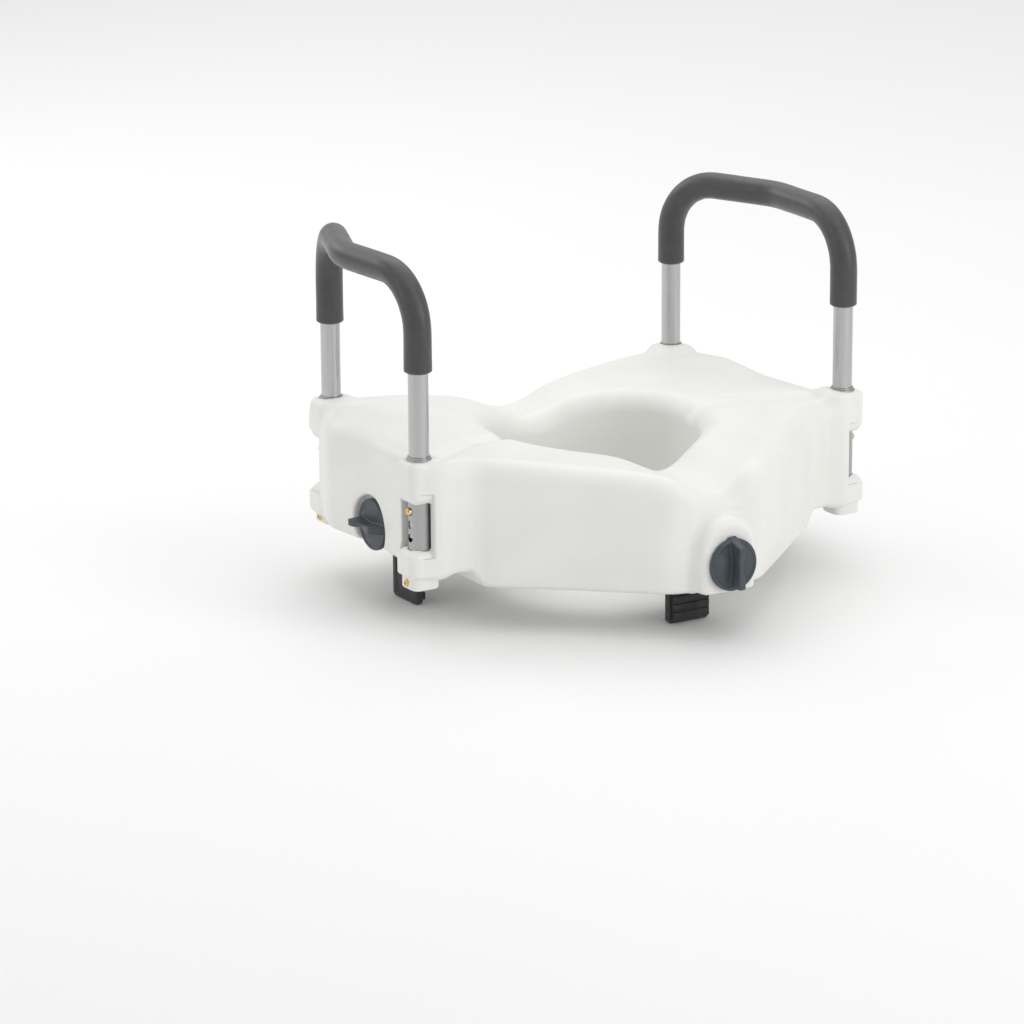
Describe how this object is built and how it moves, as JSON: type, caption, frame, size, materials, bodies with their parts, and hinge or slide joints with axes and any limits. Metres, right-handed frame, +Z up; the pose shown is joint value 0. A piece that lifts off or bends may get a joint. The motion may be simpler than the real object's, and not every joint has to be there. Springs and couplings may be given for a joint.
{
  "type": "raised toilet seat",
  "caption": "Raised toilet seat: hollow moulded seat on a bowl's rim, held by screw clamps with finned knobs, with lift-off padded tube arms set by snap buttons.",
  "frame": {"origin": "centre of the flat underside that rests on the toilet bowl's rim, midway between the four arm posts", "axes": "+X to the right of a person who faces the front of the seat, +Y towards the back (cistern), +Z up"},
  "size_m": [0.5166, 0.4395, 0.3564],
  "materials": {
    "seat_plastic": "warm white blow-moulded polyethylene with a soft sheen",
    "sleeve_metal": "satin anodised",
    "arm_metal": "satin anodised tube",
    "grip_foam": "closed-cell foam, dark grey",
    "gold_zinc": "yellow zinc plate",
    "spring_steel": "spring strip",
    "knob_plastic": "dark slate grey, fine texture",
    "clamp_plastic": "dark grey moulded plastic",
    "pad_rubber": "soft rubber",
    "bush_plastic": "natural nylon",
    "zinc_steel": "bright zinc plate"
  },
  "bodies": {
    "seat": {"seat_shell": "seat_plastic", "rim_pads": "pad_rubber", "foot_screws": "gold_zinc", "sleeve_front_left": "sleeve_metal", "sleeve_front_right": "sleeve_metal", "sleeve_back_left": "sleeve_metal", "sleeve_back_right": "sleeve_metal", "foot_cap_front_left": "seat_plastic", "foot_cap_front_right": "seat_plastic", "foot_cap_back_left": "seat_plastic", "foot_cap_back_right": "seat_plastic", "rod_bush_left": "bush_plastic", "rod_bush_right": "bush_plastic", "rod_bush_front": "bush_plastic"},
    "arm_left": {"arm_tube_left": "arm_metal", "grip_left": "grip_foam", "spring_clip_front_left": "spring_steel", "spring_clip_back_left": "spring_steel"},
    "arm_right": {"arm_tube_right": "arm_metal", "grip_right": "grip_foam", "spring_clip_front_right": "spring_steel", "spring_clip_back_right": "spring_steel"},
    "button_front_left": {"snap_button_front_left": "gold_zinc"},
    "button_front_right": {"snap_button_front_right": "gold_zinc"},
    "button_back_left": {"snap_button_back_left": "gold_zinc"},
    "button_back_right": {"snap_button_back_right": "gold_zinc"},
    "screw_left": {"knob_left": "knob_plastic", "threaded_rod_left": "zinc_steel", "retaining_ring_left": "zinc_steel"},
    "clamp_left": {"clamp_bracket_left": "clamp_plastic", "clamp_nut_left": "zinc_steel", "clamp_pad_left": "pad_rubber"},
    "screw_right": {"knob_right": "knob_plastic", "threaded_rod_right": "zinc_steel", "retaining_ring_right": "zinc_steel"},
    "clamp_right": {"clamp_bracket_right": "clamp_plastic", "clamp_nut_right": "zinc_steel", "clamp_pad_right": "pad_rubber"},
    "screw_front": {"knob_front": "knob_plastic", "threaded_rod_front": "zinc_steel", "retaining_ring_front": "zinc_steel"},
    "clamp_front": {"clamp_bracket_front": "clamp_plastic", "clamp_nut_front": "zinc_steel", "clamp_pad_front": "pad_rubber"}
  },
  "joints": [
    {"name": "arm_left_lift", "type": "slide", "parent": "seat", "child": "arm_left", "axis": [0, 0, 1], "range_m": [-0.0254, 0.09], "deforming": ["snap_button_front_left", "snap_button_back_left"]},
    {"name": "arm_right_lift", "type": "slide", "parent": "seat", "child": "arm_right", "axis": [0, 0, 1], "range_m": [-0.0254, 0.09], "deforming": ["snap_button_front_right", "snap_button_back_right"]},
    {"name": "button_front_left_press", "type": "slide", "parent": "arm_left", "child": "button_front_left", "axis": [1, 0, 0], "range_m": [0, 0.0045], "stiffness_N_per_m": 1500, "springref_m": -0.001, "deforming": ["spring_clip_front_left"]},
    {"name": "button_front_right_press", "type": "slide", "parent": "arm_right", "child": "button_front_right", "axis": [-1, 0, 0], "range_m": [0, 0.0045], "stiffness_N_per_m": 1500, "springref_m": -0.001, "deforming": ["spring_clip_front_right"]},
    {"name": "button_back_left_press", "type": "slide", "parent": "arm_left", "child": "button_back_left", "axis": [1, 0, 0], "range_m": [0, 0.0045], "stiffness_N_per_m": 1500, "springref_m": -0.001, "deforming": ["spring_clip_back_left"]},
    {"name": "button_back_right_press", "type": "slide", "parent": "arm_right", "child": "button_back_right", "axis": [-1, 0, 0], "range_m": [0, 0.0045], "stiffness_N_per_m": 1500, "springref_m": -0.001, "deforming": ["spring_clip_back_right"]},
    {"name": "knob_left_turn", "type": "hinge", "parent": "seat", "child": "screw_left", "pos_m": [-0.222, -0.01, 0.036], "axis": [1, 0, 0], "range_deg": [-2160, 4320]},
    {"name": "knob_right_turn", "type": "hinge", "parent": "seat", "child": "screw_right", "pos_m": [0.222, -0.01, 0.036], "axis": [-1, 0, 0], "range_deg": [-2160, 4320]},
    {"name": "knob_front_turn", "type": "hinge", "parent": "seat", "child": "screw_front", "pos_m": [0, -0.282, 0.029], "axis": [0, 1, 0], "range_deg": [-2160, 4320]},
    {"name": "clamp_left_slide", "type": "slide", "parent": "seat", "child": "clamp_left", "axis": [1, 0, 0], "range_m": [-0.0075, 0.015]},
    {"name": "clamp_right_slide", "type": "slide", "parent": "seat", "child": "clamp_right", "axis": [-1, 0, 0], "range_m": [-0.0075, 0.015]},
    {"name": "clamp_front_slide", "type": "slide", "parent": "seat", "child": "clamp_front", "axis": [0, -1, 0], "range_m": [-0.0075, 0.015]}
  ],
  "couplings": [
    {"joint": "clamp_left_slide", "follows": "knob_left_turn", "m_per_rad": 0.00019894},
    {"joint": "clamp_right_slide", "follows": "knob_right_turn", "m_per_rad": 0.00019894},
    {"joint": "clamp_front_slide", "follows": "knob_front_turn", "m_per_rad": 0.00019894}
  ]
}
